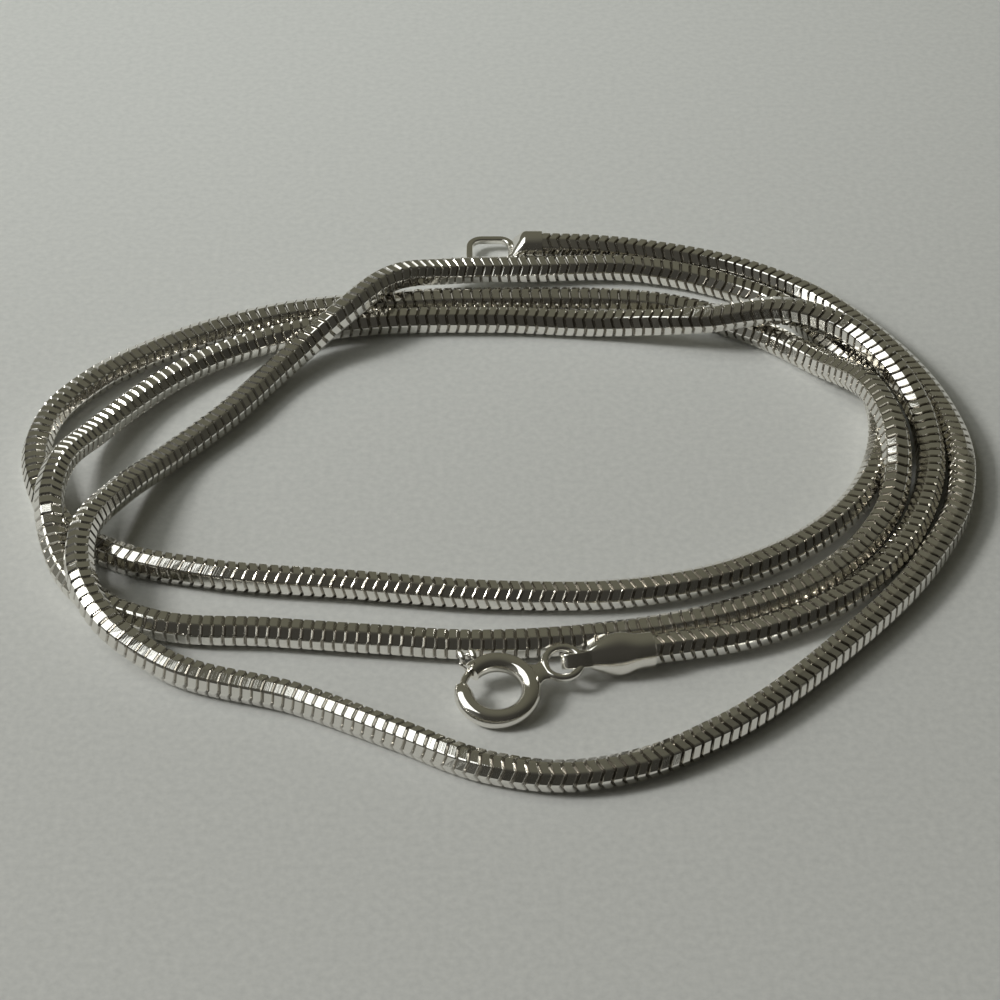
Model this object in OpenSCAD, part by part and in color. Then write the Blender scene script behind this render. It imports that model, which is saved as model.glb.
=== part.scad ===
// Snake chain necklace with a spring ring clasp, lying loosely coiled.
// Units are millimetres. Z is up and the chain rests on the plane z = 0.

/* [Chain] */
// Width of the chain across its flats
chain_w = 2.0; // [1.7:0.05:2.05]
// How far each end of the chain reaches into its cap
chain_inset = 1.0; // [0.6:0.1:1.3]

/* [End caps] */
// Gap between the chain's corners and the bore of a cap
cap_fit = 0.03; // [0.02:0.01:0.06]
// Wall of a cap round the chain
cap_wall = 0.13; // [0.1:0.01:0.2]
// Length of the round collar at a cap's mouth
collar_len = 1.5; // [1.4:0.1:2]
// Length of the pressed leaf of the clasp's cap
leaf_len = 2.85; // [2.6:0.05:3.3]
// Greatest width of the leaf
leaf_w = 3.0; // [2.6:0.1:3.4]
// Thickness of the pressed leaf
leaf_t = 1.1; // [0.9:0.05:1.3]
// Width of the neck and of the hook at the leaf's tip
neck_w = 0.95; // [0.8:0.05:1.1]
// Thickness of the neck at the leaf's tip
neck_t = 0.6; // [0.5:0.05:0.8]
// Thickness of the hook's bent strip
hook_t = 0.24; // [0.2:0.02:0.3]
// Gap above and below the eye's wire inside the hook
hook_fit = 0.16; // [0.14:0.01:0.2]
// Length of the open space inside the hook
hook_inner = 1.3; // [1.1:0.1:1.6]
// Length of the shoulder between the free cap's collar and its loop
shoulder_len = 1.1; // [0.8:0.1:1.5]
// Length of the loop at the free end
loop_len = 3.8; // [3.4:0.1:4.4]
// Width of the loop at the free end
loop_w = 3.4; // [3:0.1:4]
// Thickness of the loop at the free end
loop_t = 0.55; // [0.45:0.05:0.7]
// Width of the strip that the loop is made of
loop_strip = 0.45; // [0.35:0.05:0.6]
// Outer corner radius of the loop
loop_corner = 1.2; // [0.8:0.1:1.4]
// Roll of the loop about the chain, so that its near side is down
loop_roll = 6; // [3:1:8]
// How far the loop lies below the middle of the collar
loop_drop = 0.55; // [0.4:0.05:0.6]

/* [Clasp] */
// Radius of the ring at the middle of its tube
ring_r = 2.23; // [2.1:0.01:2.4]
// Outer radius of the ring's tube
tube_r = 0.65; // [0.6:0.01:0.7]
// Wall of the ring's tube
tube_wall = 0.24; // [0.2:0.01:0.26]
// Angle on the ring at which the gap begins, where the knob is
gap_start = 141; // [136:1:145]
// Angle on the ring at which the gap ends
gap_end = 174; // [170:1:178]
// Gap between the bolt and the bore of the tube
bolt_fit = 0.08; // [0.05:0.01:0.1]
// Travel of the bolt in degrees
bolt_travel = 38; // [36:1:40]
// How far the closed bolt reaches past the gap, in degrees
bolt_lap = 5; // [3:1:6]
// Outer diameter of the eye that is soldered to the ring
eye_d = 2.8; // [2.5:0.1:3]
// Thickness of the wire of the eye
eye_wire = 0.5; // [0.4:0.02:0.54]
// Direction of the eye from the ring's centre
eye_angle = 27; // [20:1:35]
// Length of the solder neck between the ring and the eye
eye_neck = 0.55; // [0.4:0.05:0.7]
// Width of the solder neck
eye_neck_w = 1.1; // [0.8:0.1:1.4]

/* [Knob] */
// Diameter of the stem that slides in the slot
stem_d = 0.34; // [0.3:0.02:0.4]
// Gap on each side of the stem in its slot
stem_fit = 0.06; // [0.04:0.01:0.1]
// Reach of the stem beyond the outside of the tube
stem_reach = 0.12; // [0.1:0.01:0.2]
// Radius of the small ball at the foot of the knob
foot_r = 0.23; // [0.2:0.01:0.26]
// Radius of each of the knob's two lobes
lobe_r = 0.33; // [0.28:0.01:0.36]
// Height of the outer lobe above the ring's plane
lobe_low = 0.9; // [0.8:0.05:1]
// Height of the inner lobe above the ring's plane
lobe_high = 1.2; // [1.15:0.05:1.3]

/* [Hidden] */
silver = [0.80, 0.80, 0.78];
sides = 8;

// Middle of the chain from the clasp's cap to the free cap. z is chain_w / 2 where it lies flat.
CHAIN_ROUTE = [
    // out of the clasp's cap and round the right-hand bend, rising
    [9.2, -18.1, 1.4], [10.7, -17.7, 1.3], [17.3, -15.8, 1], [22.6, -12.9, 1], [26.8, -8.8, 1],
    [29.6, -3.5, 1.1], [30.9, 2.3, 1.4], [30.5, 7.1, 2], [28.6, 11.6, 2.8],
    // over the two far strands
    [25.6, 15.3, 3.2], [22.1, 16.9, 3.5], [15.1, 17.4, 2.4],
    // the far side, then down the left-hand bend and over another strand
    [7.7, 18.7, 1.1], [-0.2, 19.3, 1], [-14, 18, 1], [-21.1, 14.6, 1],
    [-29.1, 4.7, 1.7], [-31, -0.8, 3.1], [-31.1, -5.6, 3.1], [-29.7, -9.8, 1.4],
    // the near side
    [-26.5, -13.3, 1], [-23, -15, 1], [-15.2, -15.8, 1], [-8.2, -16.5, 1], [-2.2, -17, 1],
    [3.7, -16.7, 1], [15.4, -14.1, 1], [21.5, -11, 1.1], [25.5, -6.7, 1.1], [27.7, -2.4, 1.6],
    // over the next strand and along the far side
    [28.2, 3.2, 3.1], [27.1, 7.9, 3.1], [23.6, 13.7, 1.4], [19.4, 17.8, 1], [15, 20.2, 1],
    [0.2, 21.7, 1], [-8.8, 21.2, 1], [-17.6, 19.4, 1], [-24.7, 15.9, 1],
    // the outermost left-hand bend
    [-30, 11.5, 1], [-32.6, 7.3, 1], [-33.2, 3.5, 1], [-32.2, -1.3, 1], [-29.9, -5.5, 1],
    [-25.9, -8.2, 1], [-20.2, -9.8, 1],
    // the inner near strand and the inner right-hand bend
    [-10.3, -11, 1], [0.7, -12.1, 1], [9.6, -11.7, 1], [16.3, -9.7, 1], [22.1, -5.9, 1],
    [25.7, -1.3, 1], [27.6, 4.3, 1], [27.7, 10.2, 1], [25.4, 15.6, 1], [21.3, 21.2, 1],
    // the far side again, then over the strands there and across to the left
    [16.3, 24.2, 1], [10.6, 25.8, 1.1], [2.6, 25.6, 1.2], [-4.1, 24.2, 2], [-8.1, 21.5, 3.3],
    [-11.8, 17.3, 3.02], [-14.5, 15.1, 1.65], [-16.4, 12.8, 1.15], [-19.7, 7.7, 1.05], [-23.8, 2.3, 1.15],
    [-26.6, -2.7, 2.3], [-28.4, -8.2, 3.4],
    // down off the last crossing and along the nearest strand
    [-28, -13, 3.2], [-26.2, -16.3, 2.5], [-22.4, -19.1, 1.4], [-13, -22.3, 1], [-6.8, -25.4, 1],
    [-0.6, -28.5, 1], [4.2, -29.3, 1], [9, -28.3, 1], [14.2, -25.4, 1], [22.9, -17.2, 1],
    // the outermost right-hand bend and the farthest strand, up to the free cap
    [29.6, -8.5, 1], [32.5, -2.1, 1], [33.1, 3.8, 1], [32.2, 8.6, 1], [27.8, 17.6, 1], [24, 22.2, 1],
    [19.1, 25.5, 1], [12.5, 27.8, 1], [3.9, 28.5, 1.3], [2.4, 28.5, 1.3]
];

chain_corner_r = chain_w / 2 / cos(180 / sides);
cap_bore_r = chain_corner_r + cap_fit;
cap_r = cap_bore_r + cap_wall;
bore_depth = chain_inset + cap_wall;

function unit(v) = v / norm(v);
// Frame of a piece that lies along d: its own x is d, and its z leans as little as it can
function frame_at(p, d) =
    let (x = unit(d), y = unit(cross([0, 0, 1], x)), z = cross(x, y))
    [[x.x, y.x, z.x, p.x], [x.y, y.y, z.y, p.y], [x.z, y.z, z.z, p.z], [0, 0, 0, 1]];
function place(m, v) = [for (row = [0:2]) m[row] * concat(v, [1])];

// The two caps, each with its mouth at its own origin and the chain on its minus x side
last = len(CHAIN_ROUTE) - 1;
clasp_cap_dir = unit(CHAIN_ROUTE[0] - CHAIN_ROUTE[1]);
clasp_cap_frame = frame_at(CHAIN_ROUTE[0] - clasp_cap_dir * chain_inset, clasp_cap_dir);
free_cap_dir = unit(CHAIN_ROUTE[last] - CHAIN_ROUTE[last - 1]);
free_cap_frame = frame_at(CHAIN_ROUTE[last] - free_cap_dir * chain_inset, free_cap_dir);

// The hook's opening holds the wire of the eye, which sets the ring's place
hook_gap = eye_wire / 2 + hook_fit;
hook_x = collar_len + leaf_len + hook_inner / 2;
hook_centre = place(clasp_cap_frame, [hook_x, 0, 0]);
eye_reach = ring_r + tube_r + eye_neck + eye_d / 2;
eye_centre = eye_reach * [cos(eye_angle), sin(eye_angle)];
pull_angle = atan2(-clasp_cap_dir.y, -clasp_cap_dir.x);
eye_hold = eye_centre + (eye_d - eye_wire) / 2 * [cos(pull_angle), sin(pull_angle)];
// The ring leans from the surface, under its near side, up to the hook
ring_tilt = asin((hook_centre.z - tube_r) / (eye_hold.y + ring_r));
ring_centre = hook_centre - [eye_hold.x, eye_hold.y * cos(ring_tilt), eye_hold.y * sin(ring_tilt)];

// The bolt and the slot that its stem runs in
tube_bore_r = tube_r - tube_wall;
bolt_r = tube_bore_r - bolt_fit;
stem_angle = gap_start - 2.5;
bolt_tail = stem_angle - 24;
slot_w = stem_d + 2 * stem_fit;
slot_end = stem_angle - bolt_travel - 6;
knob_foot_r = ring_r + tube_r + stem_reach + foot_r / 2;

// One octagonal ring of the chain, square to the direction d, with a flat underneath
function chain_ring(p, d) =
    let (side = unit(cross([0, 0, 1], d)), up = unit(cross(d, side)))
    [for (k = [0:sides - 1])
        let (a = (k + 0.5) * 360 / sides)
        p + chain_corner_r * (cos(a) * side + sin(a) * up)];

// Direction of the route at each of its points
function route_dir(r, i) =
    i == 0 ? unit(r[1] - r[0])
    : i == len(r) - 1 ? unit(r[i] - r[i - 1])
    : unit(unit(r[i + 1] - r[i]) + unit(r[i] - r[i - 1]));

// A closed skin over rings that have the same number of points
module skin(rings) {
    n = len(rings[0]);
    top = len(rings) - 1;
    polyhedron(
        points = [for (r = rings, p = r) p],
        faces = concat(
            [[for (k = [0:n - 1]) k]],
            [for (i = [0:top - 1], k = [0:n - 1]) [i * n + (k + 1) % n, i * n + k, (i + 1) * n + k]],
            [for (i = [0:top - 1], k = [0:n - 1])
                [(i + 1) * n + (k + 1) % n, i * n + (k + 1) % n, (i + 1) * n + k]],
            [[for (k = [n - 1:-1:0]) top * n + k]]));
}

// Part of a round tube or rod bent round the ring's axis, between two angles
module bent_rod(from, to, r) {
    rotate([0, 0, from])
        rotate_extrude(angle = to - from, $fn = 96)
            translate([ring_r, 0])
                circle(r, $fn = 32);
}

// A straight round bar between two points
module bar(a, b, r) {
    multmatrix(frame_at(a, b - a + [0, 0, 0.0001]))
        rotate([0, 90, 0])
            cylinder(h = norm(b - a), r = r, $fn = 24);
}

// Flat outline with round corners, from x = 0 to x = l
module round_outline(l, w, r) {
    translate([r, -w / 2])
        square([l - 2 * r, w]);
    translate([0, -w / 2 + r])
        square([l, w - 2 * r]);
    for (x = [r, l - r], y = [-w / 2 + r, w / 2 - r])
        translate([x, y])
            circle(r, $fn = 32);
}

// The blind bore of a cap, which the end of the chain lies in
module chain_bore() {
    translate([-1, 0, 0])
        rotate([0, 90, 0])
            cylinder(h = 1 + bore_depth, r = cap_bore_r, $fn = 48);
}

// Section of a cap across its own x: an ellipse that grows squarer as n grows, lowered by drop
function cap_section(x, half_w, half_t, n, drop = 0) =
    [for (k = [0:27])
        let (a = k * 360 / 28, c = cos(a), s = sin(a))
        [x, half_w * sign(c) * pow(abs(c), 2 / n), half_t * sign(s) * pow(abs(s), 2 / n) - drop]];

// The chain itself
module chain_run() {
    color(silver)
        skin([for (i = [0:last]) chain_ring(CHAIN_ROUTE[i], route_dir(CHAIN_ROUTE, i))]);
}

// Cap on the clasp's end: a collar pressed out to a leaf, whose tip is bent to a hook
module clasp_end_cap() {
    // share of the leaf's length, share of the leaf's width, share of its thickness, squareness
    leaf = [
        [0.30, 0.93, 1.45, 2.4],
        [0.50, 1.00, 1.08, 2.8],
        [0.62, 0.97, 1.00, 3.0]];
    color(silver)
        multmatrix(clasp_cap_frame) {
            difference() {
                skin(concat(
                    [cap_section(0, cap_r, cap_r, 2)],
                    [cap_section(collar_len, cap_r, cap_r, 2)],
                    [for (s = leaf)
                        cap_section(collar_len + s[0] * leaf_len, s[1] * leaf_w / 2, s[2] * leaf_t / 2, s[3])],
                    [cap_section(collar_len + leaf_len - hook_t / 2, neck_w / 2, neck_t / 2, 3)]));
                chain_bore();
            }
            hook();
        }
}

// Strip at the leaf's tip, bent round the wire of the eye
module hook() {
    outer_h = 2 * (hook_gap + hook_t);
    outer_l = hook_inner + 2 * hook_t;
    translate([hook_x - outer_l / 2, neck_w / 2, 0])
        rotate([90, 0, 0])
            linear_extrude(neck_w)
                difference() {
                    round_outline(outer_l, outer_h, outer_h / 2 - 0.01);
                    translate([hook_t, 0])
                        round_outline(hook_inner, 2 * hook_gap, hook_gap - 0.01);
                }
}

// Cap on the free end: a collar with a flat loop for the clasp
module free_end_cap() {
    loop_x = collar_len + shoulder_len - loop_strip;
    color(silver)
        multmatrix(free_cap_frame) {
            difference() {
                skin([
                    cap_section(0, cap_r, cap_r, 2),
                    cap_section(collar_len, cap_r, cap_r, 2),
                    cap_section(collar_len + 0.6 * shoulder_len, cap_r, 0.6 * cap_r, 2.6, 0.7 * loop_drop),
                    cap_section(collar_len + shoulder_len, 0.9 * cap_r, loop_t / 2, 3, loop_drop)]);
                chain_bore();
            }
            translate([loop_x, 0, -loop_drop])
                rotate([-loop_roll, 0, 0])
                    translate([0, 0, -loop_t / 2])
                        linear_extrude(loop_t)
                            difference() {
                                round_outline(loop_len, loop_w, loop_corner);
                                translate([loop_strip, 0])
                                    round_outline(loop_len - 2 * loop_strip, loop_w - 2 * loop_strip,
                                        loop_corner - loop_strip);
                            }
        }
}

// The split hollow ring with its slot and the eye soldered to it
module clasp_ring() {
    ring_turn = 360 - gap_end + gap_start;
    color(silver)
        translate(ring_centre)
            rotate([ring_tilt, 0, 0]) {
                difference() {
                    union() {
                        bent_rod(gap_end, gap_end + ring_turn, tube_r);
                        eye_stem();
                    }
                    bent_rod(gap_end - 1, gap_end + ring_turn + 1, tube_bore_r);
                    stem_slot();
                }
                eye();
            }
}

// Solder neck from the ring's tube to the eye, kept outside the tube's bore
module eye_stem() {
    rotate([0, 0, eye_angle])
        translate([ring_r + tube_wall, -eye_neck_w / 2, -eye_wire / 2])
            cube([eye_neck + tube_r, eye_neck_w, eye_wire]);
}

// Slot in the outside of the tube, open into the gap
module stem_slot() {
    slot_turn = gap_start + 1 - slot_end;
    rotate([0, 0, slot_end])
        rotate_extrude(angle = slot_turn, $fn = 96)
            translate([ring_r, -slot_w / 2])
                square([tube_r + 1, slot_w]);
}

// Round eye beside the ring
module eye() {
    translate([eye_centre.x, eye_centre.y, 0])
        rotate_extrude($fn = 64)
            translate([(eye_d - eye_wire) / 2, 0])
                circle(eye_wire / 2, $fn = 24);
}

// The curved bolt with the stem and the two lobes of its knob
module clasp_bolt() {
    foot = knob_foot_r * [cos(stem_angle), sin(stem_angle), 0];
    outer_lobe = (knob_foot_r + 0.1) * [cos(stem_angle), sin(stem_angle), 0] + [0, 0, lobe_low];
    inner_lobe = (ring_r + 0.4) * [cos(stem_angle - 9), sin(stem_angle - 9), 0] + [0, 0, lobe_high];
    color(silver)
        translate(ring_centre)
            rotate([ring_tilt, 0, 0]) {
                bent_rod(bolt_tail, gap_end + bolt_lap, bolt_r);
                bar(ring_r * unit(foot), foot, stem_d / 2);
                translate(foot)
                    sphere(foot_r, $fn = 32);
                bar(foot, outer_lobe, stem_d / 2);
                bar(outer_lobe, inner_lobe, stem_d / 2);
                translate(outer_lobe)
                    sphere(lobe_r, $fn = 32);
                translate(inner_lobe)
                    sphere(lobe_r, $fn = 32);
            }
}

chain_run();
clasp_end_cap();
free_end_cap();
clasp_ring();
clasp_bolt();
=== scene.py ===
import math

import bmesh
import bpy
import numpy as np
from mathutils import Matrix, Vector


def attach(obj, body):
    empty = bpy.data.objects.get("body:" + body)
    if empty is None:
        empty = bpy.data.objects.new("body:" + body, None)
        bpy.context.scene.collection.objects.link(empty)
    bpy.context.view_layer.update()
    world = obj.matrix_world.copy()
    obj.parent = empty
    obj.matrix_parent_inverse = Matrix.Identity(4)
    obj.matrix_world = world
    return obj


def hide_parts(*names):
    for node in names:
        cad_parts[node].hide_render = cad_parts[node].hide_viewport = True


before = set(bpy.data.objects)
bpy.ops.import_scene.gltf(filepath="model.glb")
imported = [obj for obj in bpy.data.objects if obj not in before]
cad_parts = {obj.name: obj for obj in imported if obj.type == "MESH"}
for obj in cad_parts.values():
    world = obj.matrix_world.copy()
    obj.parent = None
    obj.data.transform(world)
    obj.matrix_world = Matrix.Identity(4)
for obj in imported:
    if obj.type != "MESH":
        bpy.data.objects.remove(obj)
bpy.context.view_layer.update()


# The chain
# A round snake chain of sterling silver. Wavy rings pressed out of strip sit nested in each other
# and are rolled between flats, so eight rows of small pads run along it. It lies in loose coils
# on the surface, and both its ends are soldered into caps.
MM = 0.001
chain_route = [
    # out of the clasp's cap and round the right-hand bend, rising
    (9.2, -18.1, 1.4), (10.7, -17.7, 1.3), (17.3, -15.8, 1), (22.6, -12.9, 1), (26.8, -8.8, 1),
    (29.6, -3.5, 1.1), (30.9, 2.3, 1.4), (30.5, 7.1, 2), (28.6, 11.6, 2.8),
    # over the two far strands
    (25.6, 15.3, 3.2), (22.1, 16.9, 3.5), (15.1, 17.4, 2.4),
    # the far side, then down the left-hand bend and over another strand
    (7.7, 18.7, 1.1), (-0.2, 19.3, 1), (-14, 18, 1), (-21.1, 14.6, 1), (-29.1, 4.7, 1.7),
    (-31, -0.8, 3.1), (-31.1, -5.6, 3.1), (-29.7, -9.8, 1.4),
    # the near side
    (-26.5, -13.3, 1), (-23, -15, 1), (-15.2, -15.8, 1), (-8.2, -16.5, 1), (-2.2, -17, 1),
    (3.7, -16.7, 1), (15.4, -14.1, 1), (21.5, -11, 1.1), (25.5, -6.7, 1.1), (27.7, -2.4, 1.6),
    # over the next strand and along the far side
    (28.2, 3.2, 3.1), (27.1, 7.9, 3.1), (23.6, 13.7, 1.4), (19.4, 17.8, 1), (15, 20.2, 1),
    (0.2, 21.7, 1), (-8.8, 21.2, 1), (-17.6, 19.4, 1), (-24.7, 15.9, 1),
    # the outermost left-hand bend
    (-30, 11.5, 1), (-32.6, 7.3, 1), (-33.2, 3.5, 1), (-32.2, -1.3, 1), (-29.9, -5.5, 1),
    (-25.9, -8.2, 1), (-20.2, -9.8, 1),
    # the inner near strand and the inner right-hand bend
    (-10.3, -11, 1), (0.7, -12.1, 1), (9.6, -11.7, 1), (16.3, -9.7, 1), (22.1, -5.9, 1),
    (25.7, -1.3, 1), (27.6, 4.3, 1), (27.7, 10.2, 1), (25.4, 15.6, 1), (21.3, 21.2, 1),
    # the far side again, then over the strands there and across to the left
    (16.3, 24.2, 1), (10.6, 25.8, 1.1), (2.6, 25.6, 1.2), (-4.1, 24.2, 2), (-8.1, 21.5, 3.3),
    (-11.8, 17.3, 3.02), (-14.5, 15.1, 1.65), (-16.4, 12.8, 1.15), (-19.7, 7.7, 1.05), (-23.8, 2.3, 1.15),
    (-26.6, -2.7, 2.3), (-28.4, -8.2, 3.4),
    # down off the last crossing and along the nearest strand
    (-28, -13, 3.2), (-26.2, -16.3, 2.5), (-22.4, -19.1, 1.4), (-13, -22.3, 1), (-6.8, -25.4, 1),
    (-0.6, -28.5, 1), (4.2, -29.3, 1), (9, -28.3, 1), (14.2, -25.4, 1), (22.9, -17.2, 1),
    # the outermost right-hand bend and the farthest strand, up to the free cap
    (29.6, -8.5, 1), (32.5, -2.1, 1), (33.1, 3.8, 1), (32.2, 8.6, 1), (27.8, 17.6, 1), (24, 22.2, 1),
    (19.1, 25.5, 1), (12.5, 27.8, 1), (3.9, 28.5, 1.3), (2.4, 28.5, 1.3),
]
chain_half = 1.0 * MM
link_count = 761
facets = 8
facet_angle = 360 / facets
pad_columns = 3 * facets
# each flat reaches this many degrees to either side, and its rubbed corners reach this far out
flat_reach = 17.5
corner_reach = 1.062
# how far a ring may lean, and how dull the tail is that stays put where it meets the next ring; the same
# tail is darkened with tarnish and painted shade
askew_by = 0.010 * MM
tail_dull = 0.8
seam_depth = 0.18 * MM
seam_wave = 0.15 * MM
# one link from its lip to its tail: how far along, as a share of the pitch, how far sunk, as a share of
# the seam's depth, and how dull and dark, partly with tarnish and partly with painted shade in the hollows
# between rings
link_profile = [(0.06, 0.0, 0.0), (0.71, 0.0, 0.0), (0.76, 0.22, 0.3), (0.89, 0.85, 0.7), (1.0, 1.0, 0.85)]
# how the wave turns against the pads, and the pads about the chain: millimetres along, degrees
wave_turns = [
    (0, 240), (130, 180), (175, 180), (285, 215), (335, 240), (450, 190), (466, 180), (490, 90), (571, 60),
]
pad_turns = [
    (0, 38), (20, 33), (44, 30), (57, 24), (62, 10), (92, 8), (108, 0), (116, -5), (124, -10), (132, -4),
    (148, 3), (156, -3), (172, -15), (188, -20), (204, -20), (220, -26), (244, -22), (288, -22),
    (291, -26), (295, -33), (304, -38), (314, -41), (322, -55), (330, -61), (340, -50), (364, -37),
    (396, -28), (404, -45), (414, -46), (428, -38), (436, -31), (450, -32), (456, -25), (470, -23),
    (484, -15), (492, -26), (516, -33), (532, -42), (550, -36), (557, -43), (571, -53),
]


def chain_line():
    """The line that the chain follows, as one smooth spline through the route's points."""
    curve = bpy.data.curves.new("chain_line", "CURVE")
    curve.dimensions = "3D"
    curve.twist_mode = "Z_UP"
    curve.resolution_u = 24
    spline = curve.splines.new("BEZIER")
    spline.bezier_points.add(len(chain_route) - 1)
    places = [Vector(point) * MM for point in chain_route]
    spans = [(b - a).length for a, b in zip(places, places[1:])]
    for i, knot in enumerate(spline.bezier_points):
        before = spans[max(i - 1, 0)]
        after = spans[min(i, len(spans) - 1)]
        came = (places[max(i, 1)] - places[max(i, 1) - 1]) / before
        goes = (places[min(i + 1, len(places) - 1)] - places[min(i, len(places) - 2)]) / after
        heading = came.lerp(goes, before / (before + after))
        knot.handle_left_type = knot.handle_right_type = "FREE"
        knot.co = places[i]
        knot.handle_left = places[i] - heading * before / 3
        knot.handle_right = places[i] + heading * after / 3
    return bpy.data.objects.new("chain_line", curve), spline.calc_length()


def show(name, mesh):
    """Adds a mesh to the scene as one object at the origin."""
    piece = bpy.data.objects.new(name, mesh)
    bpy.context.scene.collection.objects.link(piece)
    return piece


def finished(piece):
    """Applies a piece's modifiers to its mesh."""
    bpy.context.view_layer.update()
    seen = piece.evaluated_get(bpy.context.evaluated_depsgraph_get())
    mesh = bpy.data.meshes.new_from_object(seen)
    piece.modifiers.clear()
    piece.data = mesh
    mesh.name = piece.name
    return piece


def place_pad_loop(verts, along, sunk):
    """Puts one loop of a link in place: eight flats with rubbed corners, sunk below the pads."""
    for i, vert in enumerate(verts):
        facet, corner = divmod(i, 3)
        aside = math.radians((-facet_angle / 2, -flat_reach, flat_reach)[corner])
        angle = math.radians(facet_angle * facet) + aside
        reach = (chain_half - sunk) * (1 / math.cos(aside) if corner else corner_reach)
        vert.co = (along, reach * math.sin(angle), reach * math.cos(angle))


line, line_length = chain_line()
bpy.context.scene.collection.objects.link(line)
pitch = line_length / link_count
link = bmesh.new()
seam_mask = link.verts.layers.float.new("seam")
loop = bmesh.ops.create_circle(link, segments=pad_columns, radius=chain_half)["verts"]
place_pad_loop(loop, 0, seam_depth)
for vert in loop:
    vert[seam_mask] = link_profile[-1][2]
edges = list(link.edges)
for share, sink, dull in link_profile:
    grown = bmesh.ops.extrude_edge_only(link, edges=edges)["geom"]
    loop = [g for g in grown if isinstance(g, bmesh.types.BMVert)]
    edges = [g for g in grown if isinstance(g, bmesh.types.BMEdge)]
    place_pad_loop(loop, share * pitch, sink * seam_depth)
    for vert in loop:
        vert[seam_mask] = dull
bmesh.ops.recalc_face_normals(link, faces=link.faces)
link_mesh = bpy.data.meshes.new("chain_link")
link.to_mesh(link_mesh)
link.free()
chain = show("chain", link_mesh)
row = chain.modifiers.new("row of links", "ARRAY")
row.count = link_count
row.use_relative_offset = False
row.use_constant_offset = True
row.constant_offset_displace = (pitch, 0, 0)
row.use_merge_vertices = True
row.merge_threshold = 0.00001
finished(chain)

# each ring is waved, sits a little askew, and the whole chain twists slowly
count = len(chain.data.vertices)
flat = np.empty(count * 3)
chain.data.vertices.foreach_get("co", flat)
spot = flat.reshape(count, 3)
sunk_share = np.empty(count)
chain.data.attributes["seam"].data.foreach_get("value", sunk_share)
along = spot[:, 0].copy()
around = np.arctan2(spot[:, 1], spot[:, 2])
wave = np.radians(np.interp(along / MM, *zip(*wave_turns)))
askew = np.random.default_rng(8)
tilt = askew.normal(0, askew_by, (link_count + 1, 2))
which = np.clip(np.floor(along / pitch - 0.01).astype(int), 0, link_count)
lean = tilt[which, 0] * np.cos(around) + tilt[which, 1] * np.sin(around)
spot[:, 0] += seam_wave * np.cos(facets / 2 * around + wave) + lean * (sunk_share < tail_dull)
turn = np.radians(np.interp(along / MM, *zip(*pad_turns)))
across, height = spot[:, 1].copy(), spot[:, 2].copy()
spot[:, 1] = across * np.cos(turn) + height * np.sin(turn)
spot[:, 2] = height * np.cos(turn) - across * np.sin(turn)
chain.data.vertices.foreach_set("co", spot.ravel())
unrolled = chain.data.attributes.new("unrolled", "FLOAT_VECTOR", "POINT")
unrolled.data.foreach_set("vector", np.stack([along, chain_half * np.abs(around), height], 1).ravel())

# the ends are closed, inside the caps
ends = bmesh.new()
ends.from_mesh(chain.data)
bmesh.ops.holes_fill(ends, edges=[edge for edge in ends.edges if edge.is_boundary], sides=pad_columns)
bmesh.ops.recalc_face_normals(ends, faces=ends.faces)
ends.to_mesh(chain.data)
ends.free()
bend = chain.modifiers.new("lies along the line", "CURVE")
bend.object = line
bend.deform_axis = "POS_X"
finished(chain)
bpy.data.objects.remove(line)


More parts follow.
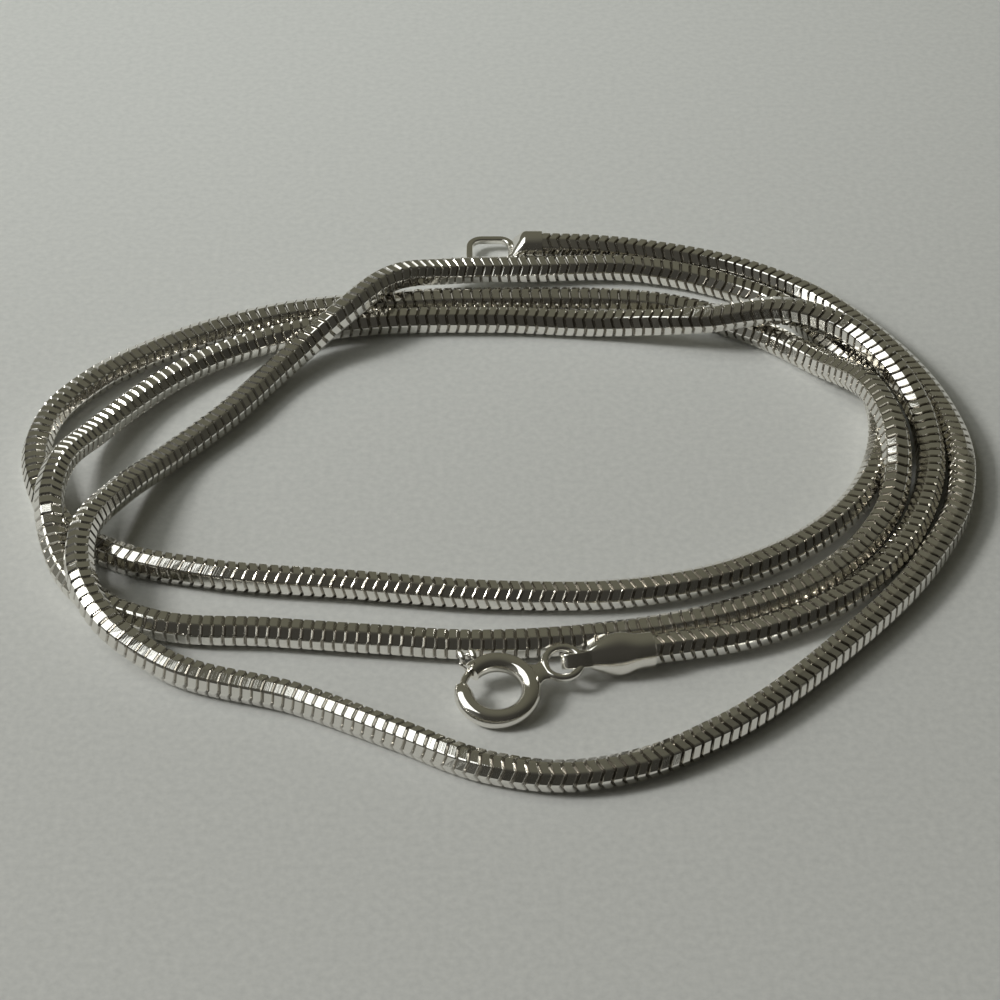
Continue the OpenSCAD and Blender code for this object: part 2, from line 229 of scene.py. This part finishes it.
def silver_finish():
    """What every silver piece here has: fine polishing scratches, handling marks, and dark, dull hollows,
    partly tarnish and partly painted shade.
    """
    group = bpy.data.node_groups.new("silver_finish", "ShaderNodeTree")
    side = group.interface
    side.new_socket(name="Place", in_out="INPUT", socket_type="NodeSocketVector")
    wanted = (("Marks size", 1e6, 900), ("Marks", 1, 0.3), ("Shine", 1, 0.15), ("Tarnish and painted shade", 1, 0.0))
    for name, high, start in wanted:
        socket = side.new_socket(name=name, in_out="INPUT", socket_type="NodeSocketFloat")
        socket.default_value = start
        socket.min_value = 0
        socket.max_value = high
    side.new_socket(name="Color", in_out="OUTPUT", socket_type="NodeSocketColor")
    side.new_socket(name="Roughness", in_out="OUTPUT", socket_type="NodeSocketFloat")
    side.new_socket(name="Normal", in_out="OUTPUT", socket_type="NodeSocketVector")
    nodes, links = group.nodes, group.links
    given = nodes.new("NodeGroupInput")
    made = nodes.new("NodeGroupOutput")
    marks = nodes.new("ShaderNodeTexNoise")
    marks.inputs["Detail"].default_value = 4
    links.new(given.outputs["Place"], marks.inputs["Vector"])
    links.new(given.outputs["Marks size"], marks.inputs["Scale"])
    cloud = nodes.new("ShaderNodeTexNoise")
    cloud.inputs["Scale"].default_value = 160
    links.new(given.outputs["Place"], cloud.inputs["Vector"])
    tone = nodes.new("ShaderNodeMix")
    tone.data_type = "RGBA"
    tone.inputs["A"].default_value = (0.95, 0.935, 0.905, 1)
    tone.inputs["B"].default_value = (0.86, 0.83, 0.76, 1)
    links.new(cloud.outputs["Fac"], tone.inputs["Factor"])
    # the hollows are painted a dark tarnish brown: partly tarnish, partly painted shade between the rings
    tarnish_and_shade = nodes.new("ShaderNodeMix")
    tarnish_and_shade.data_type = "RGBA"
    tarnish_and_shade.inputs["B"].default_value = (0.22, 0.195, 0.155, 1)
    links.new(given.outputs["Tarnish and painted shade"], tarnish_and_shade.inputs["Factor"])
    links.new(tone.outputs["Result"], tarnish_and_shade.inputs["A"])
    links.new(tarnish_and_shade.outputs["Result"], made.inputs["Color"])
    rub = nodes.new("ShaderNodeMath")
    rub.operation = "MULTIPLY_ADD"
    rub.inputs[1].default_value = 0.10
    links.new(marks.outputs["Fac"], rub.inputs[0])
    links.new(given.outputs["Shine"], rub.inputs[2])
    dull = nodes.new("ShaderNodeMath")
    dull.operation = "MULTIPLY_ADD"
    dull.inputs[1].default_value = 0.3
    links.new(given.outputs["Tarnish and painted shade"], dull.inputs[0])
    links.new(rub.outputs["Value"], dull.inputs[2])
    links.new(dull.outputs["Value"], made.inputs["Roughness"])
    bump = nodes.new("ShaderNodeBump")
    bump.inputs["Distance"].default_value = 0.00002
    links.new(given.outputs["Marks"], bump.inputs["Strength"])
    links.new(marks.outputs["Fac"], bump.inputs["Height"])
    links.new(bump.outputs["Normal"], made.inputs["Normal"])
    return group


def silver(name, shine, marks, marks_size):
    """A silver material with its own shine and marks."""
    material = bpy.data.materials.new(name)
    material.use_nodes = True
    nodes, links = material.node_tree.nodes, material.node_tree.links
    metal = nodes["Principled BSDF"]
    metal.inputs["Metallic"].default_value = 1.0
    worn = nodes.new("ShaderNodeGroup")
    worn.name = "finish"
    worn.node_tree = finish
    worn.inputs["Marks size"].default_value = marks_size
    worn.inputs["Marks"].default_value = marks
    worn.inputs["Shine"].default_value = shine
    place = nodes.new("ShaderNodeTexCoord")
    links.new(place.outputs["Object"], worn.inputs["Place"])
    links.new(worn.outputs["Color"], metal.inputs["Base Color"])
    links.new(worn.outputs["Roughness"], metal.inputs["Roughness"])
    links.new(worn.outputs["Normal"], metal.inputs["Normal"])
    return material


finish = silver_finish()
chain_metal = silver("chain_silver", 0.025, 0.2, 2500)
chain_worn = chain_metal.node_tree.nodes["finish"]
# the seams between the rings take the dark colour: tarnish and painted shade
seam = chain_metal.node_tree.nodes.new("ShaderNodeAttribute")
seam.attribute_name = "seam"
chain_metal.node_tree.links.new(seam.outputs["Fac"], chain_worn.inputs["Tarnish and painted shade"])
# its streaks run round the chain, as the rollers leave them
flat_place = chain_metal.node_tree.nodes.new("ShaderNodeAttribute")
flat_place.attribute_name = "unrolled"
streaks = chain_metal.node_tree.nodes.new("ShaderNodeMapping")
streaks.inputs["Scale"].default_value = (5, 0.6, 0.6)
chain_metal.node_tree.links.new(flat_place.outputs["Vector"], streaks.inputs["Vector"])
chain_metal.node_tree.links.new(streaks.outputs["Vector"], chain_worn.inputs["Place"])
chain.data.materials.clear()
chain.data.materials.append(chain_metal)
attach(chain, "necklace")
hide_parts("chain_run")


# The cap on the clasp's end
# A short tube of sheet silver that the chain is soldered into. Its front is pressed flat to a leaf,
# polished along its cut edges, and the leaf's tip is a strip that is bent round the eye's wire.
cap_bore = 1.1124
cap_outside = 1.2424


def cap_frame(end, before):
    """Where a cap sits: its mouth is the origin, and its x points away from the chain."""
    toward = (Vector(end) - Vector(before)).normalized()
    side = Vector((0, 0, 1)).cross(toward).normalized()
    turned = Matrix((toward, side, toward.cross(side))).transposed().to_4x4()
    return Matrix.Scale(MM, 4) @ Matrix.Translation(Vector(end) - toward) @ turned


def swept(path, normal, sizes, columns=16, closed=False):
    """A rounded bar along a flat path. Each size is half its height along the normal, half its width
    in the path's plane, and how square it is."""
    bar = bmesh.new()
    loop = bmesh.ops.create_circle(bar, segments=columns, radius=1)["verts"]
    start = edges = list(bar.edges)
    path = [Vector(point) for point in path]
    normal = Vector(normal)
    for number, point in enumerate(path):
        if number:
            grown = bmesh.ops.extrude_edge_only(bar, edges=edges)["geom"]
            loop = [g for g in grown if isinstance(g, bmesh.types.BMVert)]
            edges = [g for g in grown if isinstance(g, bmesh.types.BMEdge)]
        if closed:
            run = path[(number + 1) % len(path)] - path[number - 1]
        else:
            run = path[min(number + 1, len(path) - 1)] - path[max(number - 1, 0)]
        beside = normal.cross(run).normalized()
        height, width, square = sizes[number] if isinstance(sizes, list) else sizes
        for i, vert in enumerate(loop):
            c = math.cos(2 * math.pi * (i + 0.5) / columns)
            s = math.sin(2 * math.pi * (i + 0.5) / columns)
            up = height * math.copysign(abs(c) ** (2 / square), c)
            out = width * math.copysign(abs(s) ** (2 / square), s)
            vert.co = point + normal * up + beside * out
    if closed:
        bmesh.ops.bridge_loops(bar, edges=start + edges)
    else:
        bmesh.ops.holes_fill(bar, edges=[edge for edge in bar.edges if edge.is_boundary], sides=columns)
    bmesh.ops.recalc_face_normals(bar, faces=bar.faces)
    return bar


def fused(name, shapes):
    """Fuses shapes, in order, into one piece: each is added, or cut away where it says so."""
    pieces = []
    for number, (shape, how) in enumerate(shapes):
        mesh = bpy.data.meshes.new(f"{name}_{number}")
        shape.to_mesh(mesh)
        shape.free()
        pieces.append(show(f"{name}_{number}", mesh))
        if number:
            work = pieces[0].modifiers.new(how, "BOOLEAN")
            work.operation = how
            work.solver = "EXACT"
            work.object = pieces[-1]
    finished(pieces[0])
    for spare in pieces[1:]:
        bpy.data.objects.remove(spare)
    pieces[0].name = name
    pieces[0].data.name = name
    return pieces[0]


def polished(piece, where, metal, sharp_over):
    """Puts a piece in place and gives it its metal, smooth apart from its sharper edges."""
    shape = bmesh.new()
    shape.from_mesh(piece.data)
    bmesh.ops.transform(shape, matrix=where, verts=shape.verts)
    bmesh.ops.remove_doubles(shape, verts=shape.verts, dist=0.000001)
    bmesh.ops.recalc_face_normals(shape, faces=shape.faces)
    for face in shape.faces:
        face.smooth = True
    for edge in shape.edges:
        edge.smooth = edge.calc_face_angle(0) < math.radians(sharp_over)
    shape.to_mesh(piece.data)
    shape.free()
    piece.data.materials.clear()
    piece.data.materials.append(metal)


collar_depth = 1.13
collar_edge = 0.03
cap_columns = 48


def cap_shell(front, roll=0):
    """A cap's collar, open at the mouth with the chain's bore behind it, and its front. Each section
    is how far along, half its width, half its height, how square it is, and how high it sits."""
    collar = [
        (collar_depth, 0.5, 0.5, 2, 0),
        (collar_depth, cap_bore, cap_bore, 2, 0),
        (collar_edge, cap_bore, cap_bore, 2, 0),
        (0.0, cap_bore + collar_edge, cap_bore + collar_edge, 2, 0),
        (0.0, cap_outside - collar_edge, cap_outside - collar_edge, 2, 0),
        (collar_edge, cap_outside, cap_outside, 2, 0),
    ]
    shell = bmesh.new()
    loop = bmesh.ops.create_circle(shell, segments=cap_columns, radius=1)["verts"]
    edges = list(shell.edges)
    for number, (x, half_width, half_thick, square, z) in enumerate(collar + front):
        if number:
            grown = bmesh.ops.extrude_edge_only(shell, edges=edges)["geom"]
            loop = [g for g in grown if isinstance(g, bmesh.types.BMVert)]
            edges = [g for g in grown if isinstance(g, bmesh.types.BMEdge)]
        for i, vert in enumerate(loop):
            c = math.cos(2 * math.pi * i / cap_columns)
            s = math.sin(2 * math.pi * i / cap_columns)
            across = half_width * math.copysign(abs(c) ** (2 / square), c)
            up = half_thick * math.copysign(abs(s) ** (2 / square), s)
            vert.co = (x, across, up + z)
    open_edges = [edge for edge in shell.edges if edge.is_boundary]
    bmesh.ops.holes_fill(shell, edges=open_edges, sides=cap_columns)
    bmesh.ops.rotate(shell, matrix=Matrix.Rotation(math.radians(roll), 3, "X"), verts=shell.verts)
    bmesh.ops.recalc_face_normals(shell, faces=shell.faces)
    return shell


clasp_cap_at = cap_frame(chain_route[0], chain_route[1])
cap_roll = -55
clasp_cap_body = cap_shell([
    (0.9, cap_outside, cap_outside, 2, 0),
    (1.30, 1.30, 1.22, 2, 0),
    (1.70, 1.42, 1.15, 2, 0),
    (2.05, 1.48, 1.07, 2.05, 0),
    (2.40, 1.47, 1.00, 2.1, 0),
    (2.75, 1.40, 0.94, 2.1, 0),
    (3.05, 1.30, 0.88, 2.15, 0.02),
    (3.40, 1.17, 0.79, 2.2, 0.05),
    (3.80, 1.00, 0.66, 2.3, 0.10),
    (4.20, 0.79, 0.48, 2.6, 0.16),
    (4.45, 0.62, 0.28, 3.2, 0.24),
], cap_roll)
hook_height = 0.55
hook_end = 6.3
hook_half_width = 0.50
strip_half = 0.12
strip_square = 6
hook_turn = hook_end - strip_half - hook_height
tongue = [(3.9, 0.34, 0.60), (4.2, 0.44, 0.58), (4.6, hook_height, 0.55), (5.0, hook_height, 0.52)]
hook_path = [(x, 0, z) for x, z, half_width in tongue]
hook_sizes = [(half_width, strip_half, strip_square) for x, z, half_width in tongue]
for turn in range(0, 181, 12):
    swing = math.radians(turn)
    hook_path.append((hook_turn + hook_height * math.sin(swing), 0, hook_height * math.cos(swing)))
    hook_sizes.append((hook_half_width, strip_half, strip_square))
hook_path += [(4.9, 0, -hook_height), (4.6, 0, -0.46), (4.3, 0, -0.34), (4.0, 0, -0.22)]
hook_sizes += [(hook_half_width, strip_half, strip_square)] * 4
clasp_hook = swept(hook_path, (0, 1, 0), hook_sizes, 20)
hook_roll = Matrix.Rotation(math.radians(cap_roll), 3, "X")
bmesh.ops.rotate(clasp_hook, matrix=hook_roll, verts=clasp_hook.verts)
cap_metal = silver("cap_silver", 0.06, 0.15, 900)
clasp_cap = fused("clasp_cap", [(clasp_cap_body, "UNION"), (clasp_hook, "UNION")])
polished(clasp_cap, clasp_cap_at, cap_metal, 40)
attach(clasp_cap, "necklace")
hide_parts("clasp_end_cap")


# The cap on the free end
# The same collar with a short shoulder that is pressed down to a flat loop for the clasp.
loop_corner = 1.2
loop_strip = 0.26
loop_thick = 0.275
loop_near, loop_far, loop_half = 2.15, 5.95, 1.7
loop_tip, loop_drop = -6, -0.55
free_loop_path = []
for quarter, (x, y) in enumerate(((loop_far, 1), (loop_near, 1), (loop_near, -1), (loop_far, -1))):
    inward = -1 if x == loop_far else 1
    for step in range(9):
        swing = math.radians(90 * quarter + 90 * step / 8)
        free_loop_path.append((
            x + inward * loop_corner + (loop_corner - loop_strip) * math.cos(swing),
            y * (loop_half - loop_corner) + (loop_corner - loop_strip) * math.sin(swing),
            0,
        ))
free_loop = swept(free_loop_path, (0, 0, 1), (loop_thick, loop_strip, 3.5), 16, True)
loop_tipped = Matrix.Rotation(math.radians(loop_tip), 3, "X")
bmesh.ops.rotate(free_loop, matrix=loop_tipped, verts=free_loop.verts)
bmesh.ops.translate(free_loop, vec=(0, 0, loop_drop), verts=free_loop.verts)
free_cap_body = cap_shell([
    (1.3, cap_outside, cap_outside, 2, 0),
    (1.5, cap_outside, 1.2, 2.05, -0.02),
    (1.8, cap_outside, 0.99, 2.3, -0.17),
    (2.16, cap_outside, 0.75, 2.6, -0.38),
    (2.4, 1.2, 0.46, 2.8, -0.49),
    (2.58, 1.12, 0.30, 3, loop_drop),
])
free_cap = fused("free_cap", [(free_cap_body, "UNION"), (free_loop, "UNION")])
polished(free_cap, cap_frame(chain_route[-1], chain_route[-2]), cap_metal, 40)
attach(free_cap, "necklace")
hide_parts("free_end_cap")


# The clasp's ring
# A silver tube bent to a ring with a gap, closed in a little at the gap. A slot outside lets the
# bolt's stem slide. An eye of round wire is soldered to it with a broad fillet.
ring_radius = 2.23
tube_radius = 0.65
gap_from, gap_to = 141, 174
mouth_pinch = 0.16
pinch_over = 20
bolt_track = ring_radius + 0.08
bore_radius = 0.34
slot_half = 0.23
eye_angle, eye_out, eye_radius = 27, 4.85, 1.21
ring_at = (
    Matrix.Scale(MM, 4)
    @ Matrix.Translation((-0.0717, -21.5603, 1.1259))
    @ Matrix.Rotation(math.radians(12.323), 4, "X")
)


def arc(radius, start, stop, steps):
    """Points on a circle round the ring's middle, between two angles in degrees."""
    angles = [math.radians(start + (stop - start) * step / steps) for step in range(steps + 1)]
    return [(radius * math.cos(angle), radius * math.sin(angle), 0) for angle in angles]


tube_steps = 96
tube_path = []
tube_sizes = []
for step in range(tube_steps + 1):
    from_mouth = step * (360 - gap_to + gap_from) / tube_steps
    pinch = mouth_pinch * max(0.0, 1 - from_mouth / pinch_over) ** 1.5
    tube_path.append(arc(ring_radius + 0.7 * pinch, gap_to + from_mouth, gap_to + from_mouth, 1)[0])
    tube_sizes.append((tube_radius - pinch, tube_radius - pinch, 2))
tube = swept(tube_path, (0, 0, 1), tube_sizes, 32)
bore_path = arc(bolt_track, gap_to - 4, gap_from + 364, tube_steps)
bore = swept(bore_path, (0, 0, 1), (bore_radius, bore_radius, 2), 24)
slot = swept(arc(ring_radius + tube_radius, 94.5, 146, 24), (0, 0, 1), (slot_half, 0.5, 8), 12)
eye_way = Vector((math.cos(math.radians(eye_angle)), math.sin(math.radians(eye_angle)), 0))
fillet_places = (2.62, 2.82, 2.98, 3.15, 3.33, 3.52)
fillet_sizes = [
    (0.42, 1.00, 2), (0.38, 0.90, 2), (0.33, 0.78, 2), (0.29, 0.72, 2), (0.27, 0.74, 2), (0.26, 0.82, 2),
]
fillet = swept([eye_way * place for place in fillet_places], (0, 0, 1), fillet_sizes, 24)
eye_path = [Vector(point) + eye_way * eye_out for point in arc(eye_radius, 0, 352.5, 47)]
eye_wire = swept(eye_path, (0, 0, 1), (0.27, 0.28, 2), 16, True)
clasp_ring = fused("clasp_ring_tube", [
    (tube, "UNION"), (fillet, "UNION"), (bore, "DIFFERENCE"), (slot, "DIFFERENCE"), (eye_wire, "UNION"),
])
clasp_metal = silver("clasp_silver", 0.05, 0.12, 700)
polished(clasp_ring, ring_at, clasp_metal, 40)
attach(clasp_ring, "necklace")
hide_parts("clasp_ring")


# The clasp's bolt
# A curved wire that a spring inside the tube keeps closed. Its stem comes out through the slot and
# carries a knob of two small lobes, which a finger nail pulls back.
stem_angle = 138.5
foot_radius = 3.115
wire_radius = 0.25
stem_radius, post_radius, bridge_radius, foot_size = 0.17, 0.13, 0.10, 0.23
petal_size, petal_stretch = 0.32, (1.5, 0.72, 0.5)
petal_face = Vector((-0.40, -0.24, 0.88)).normalized()
petal_long = petal_face.cross(Vector((-0.90, -0.43, 0))).normalized()
petal_lie = Matrix((petal_long, petal_face.cross(petal_long), petal_face)).transposed()


def ball(centre, size, stretch=(1, 1, 1)):
    """A small ball, or a petal pressed from one, which leans with its long way down to the right."""
    bead = bmesh.new()
    bmesh.ops.create_uvsphere(bead, u_segments=24, v_segments=14, radius=size)
    bmesh.ops.scale(bead, vec=stretch, verts=bead.verts)
    bmesh.ops.rotate(bead, matrix=petal_lie, verts=bead.verts)
    bmesh.ops.translate(bead, vec=centre, verts=bead.verts)
    return bead


def around_ring(radius, angle, height):
    """A point at a radius and an angle from the ring's middle, and a height above its plane."""
    return Vector((radius * math.cos(math.radians(angle)), radius * math.sin(math.radians(angle)), height))


foot = around_ring(foot_radius, stem_angle, 0)
outer_lobe = around_ring(foot_radius + 0.12, stem_angle - 1, 0.88)
inner_lobe = around_ring(ring_radius + 0.46, stem_angle - 11, 1.12)
stem_side = around_ring(1, stem_angle + 90, 0)
bolt_sizes = [(wire_radius, wire_radius, 2)] * 24 + [(0.23, 0.23, 2), (0.17, 0.17, 2)]
bolt_wire = swept(arc(bolt_track, 114.5, 179, 25), (0, 0, 1), bolt_sizes, 24)
stem_path = [around_ring(ring_radius, stem_angle, 0), foot]
stem = swept(stem_path, (0, 0, 1), (stem_radius, stem_radius, 2), 16)
post = swept([foot, outer_lobe], stem_side, (post_radius, post_radius, 2), 16)
bridge_normal = (outer_lobe - inner_lobe).cross(Vector((0, 0, 1))).normalized()
bridge = swept([outer_lobe, inner_lobe], bridge_normal, (bridge_radius, bridge_radius, 2), 16)
clasp_bolt = fused("clasp_bolt_wire", [
    (bolt_wire, "UNION"), (stem, "UNION"), (post, "UNION"), (bridge, "UNION"),
    (ball(foot, foot_size), "UNION"),
    (ball(outer_lobe, petal_size, petal_stretch), "UNION"),
    (ball(inner_lobe, petal_size, petal_stretch), "UNION"),
])
polished(clasp_bolt, ring_at, clasp_metal, 40)
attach(clasp_bolt, "bolt")
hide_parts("clasp_bolt")


# The surface that the necklace lies on
# A flat, pale, matt floor with a fine grain. It belongs to the scene and not to the part.
floor_mesh = bpy.data.meshes.new("floor")
flat_sheet = bmesh.new()
bmesh.ops.create_grid(flat_sheet, x_segments=1, y_segments=1, size=1.5)
flat_sheet.to_mesh(floor_mesh)
flat_sheet.free()
floor = show("floor", floor_mesh)
floor_material = bpy.data.materials.new("pale_floor")
floor_material.use_nodes = True
floor_shader = floor_material.node_tree.nodes["Principled BSDF"]
grain = floor_material.node_tree.nodes.new("ShaderNodeTexNoise")
grain.inputs["Scale"].default_value = 2000
grain.inputs["Detail"].default_value = 3
floor_tone = floor_material.node_tree.nodes.new("ShaderNodeMix")
floor_tone.data_type = "RGBA"
floor_tone.inputs["A"].default_value = (0.55, 0.555, 0.535, 1)
floor_tone.inputs["B"].default_value = (0.74, 0.74, 0.71, 1)
floor_place = floor_material.node_tree.nodes.new("ShaderNodeTexCoord")
floor_material.node_tree.links.new(floor_place.outputs["Object"], grain.inputs["Vector"])
floor_material.node_tree.links.new(grain.outputs["Fac"], floor_tone.inputs["Factor"])
# painted light: the floor's colour is made a little lighter far off on the left, a painted pool of light
# and sheen
far_left = floor_material.node_tree.nodes.new("ShaderNodeVectorMath")
far_left.operation = "DISTANCE"
far_left.inputs[1].default_value = (-0.024, 0.1, 0)
paler = floor_material.node_tree.nodes.new("ShaderNodeMapRange")
paler.interpolation_type = "SMOOTHSTEP"
paler.inputs["From Min"].default_value = 0.14
paler.inputs["From Max"].default_value = 0.02
# the painted pool of light, added to the floor's colour
painted_light_pool = floor_material.node_tree.nodes.new("ShaderNodeMix")
painted_light_pool.data_type = "RGBA"
painted_light_pool.blend_type = "ADD"
painted_light_pool.inputs["B"].default_value = (0.20, 0.215, 0.215, 1)
floor_material.node_tree.links.new(floor_place.outputs["Object"], far_left.inputs[0])
floor_material.node_tree.links.new(far_left.outputs["Value"], paler.inputs["Value"])
floor_material.node_tree.links.new(paler.outputs["Result"], painted_light_pool.inputs["Factor"])
floor_material.node_tree.links.new(floor_tone.outputs["Result"], painted_light_pool.inputs["A"])
floor_material.node_tree.links.new(painted_light_pool.outputs["Result"], floor_shader.inputs["Base Color"])
floor_shader.inputs["Roughness"].default_value = 0.8
floor_shader.inputs["Specular IOR Level"].default_value = 0.2
floor_mesh.materials.append(floor_material)


# Light and camera
# The glow of a room's walls, a large window and a smaller lamp, both on the left. The camera stands
# in front and looks down at the middle.
world = bpy.data.worlds.new("room")
bpy.context.scene.world = world
world.use_nodes = True
room, room_links = world.node_tree.nodes, world.node_tree.links
toward = room.new("ShaderNodeTexCoord")


def way_to(azimuth, elevation):
    """The direction that an azimuth, clockwise from the far side, and an elevation name."""
    a, e = math.radians(azimuth), math.radians(elevation)
    return Vector((math.sin(a) * math.cos(e), math.cos(a) * math.cos(e), math.sin(e)))


def glow(before, azimuth, elevation, spread, color):
    """Adds a soft patch of light to the room's colour, as wide as its spread in degrees."""
    facing = room.new("ShaderNodeVectorMath")
    facing.operation = "DOT_PRODUCT"
    facing.inputs[1].default_value = way_to(azimuth, elevation)
    fade = room.new("ShaderNodeMapRange")
    fade.interpolation_type = "SMOOTHSTEP"
    fade.inputs["From Min"].default_value = math.cos(math.radians(spread))
    patch = room.new("ShaderNodeMix")
    patch.data_type = "RGBA"
    patch.blend_type = "ADD"
    patch.inputs["B"].default_value = (*color, 1)
    room_links.new(toward.outputs["Generated"], facing.inputs[0])
    room_links.new(facing.outputs["Value"], fade.inputs["Value"])
    room_links.new(fade.outputs["Result"], patch.inputs["Factor"])
    if before:
        room_links.new(before.outputs["Result"], patch.inputs["A"])
    else:
        patch.inputs["A"].default_value = (0.031, 0.030, 0.025, 1)
    return patch


far_wall = glow(None, -8, 30, 100, (0.092, 0.090, 0.065))
left_wall = glow(far_wall, -100, 0, 60, (0.11, 0.11, 0.10))
ceiling = glow(left_wall, -165, 55, 60, (0.012, 0.011, 0.010))
room_links.new(ceiling.outputs["Result"], room["Background"].inputs["Color"])


lamp_distance = 0.8


def lamp(name, azimuth, elevation, wide, tall, watts, tint):
    """A soft lamp that looks at the middle from an azimuth and an elevation."""
    data = bpy.data.lights.new(name, "AREA")
    data.shape = "RECTANGLE"
    data.size = wide
    data.size_y = tall
    data.energy = watts
    data.color = tint
    held = bpy.data.objects.new(name, data)
    out = way_to(azimuth, elevation)
    held.location = out * lamp_distance
    held.rotation_euler = out.to_track_quat("Z", "Y").to_euler()
    bpy.context.scene.collection.objects.link(held)


lamp("window", -86, 44, 0.61, 0.8, 2.3, (0.97, 1.0, 0.985))
lamp("main light", -94, 39, 0.18, 0.17, 2.8, (1.0, 1.0, 0.985))

lens = bpy.data.cameras.new("camera")
lens.sensor_width = 36
lens.lens = 108
lens.clip_start = 0.01
eye = bpy.data.objects.new("camera", lens)
eye.location = (0.0001, -0.16407, 0.13699)
eye.rotation_euler = (math.radians(50), 0, 0)
bpy.context.scene.collection.objects.link(eye)
bpy.context.scene.camera = eye
bpy.context.scene.view_settings.view_transform = "Standard"
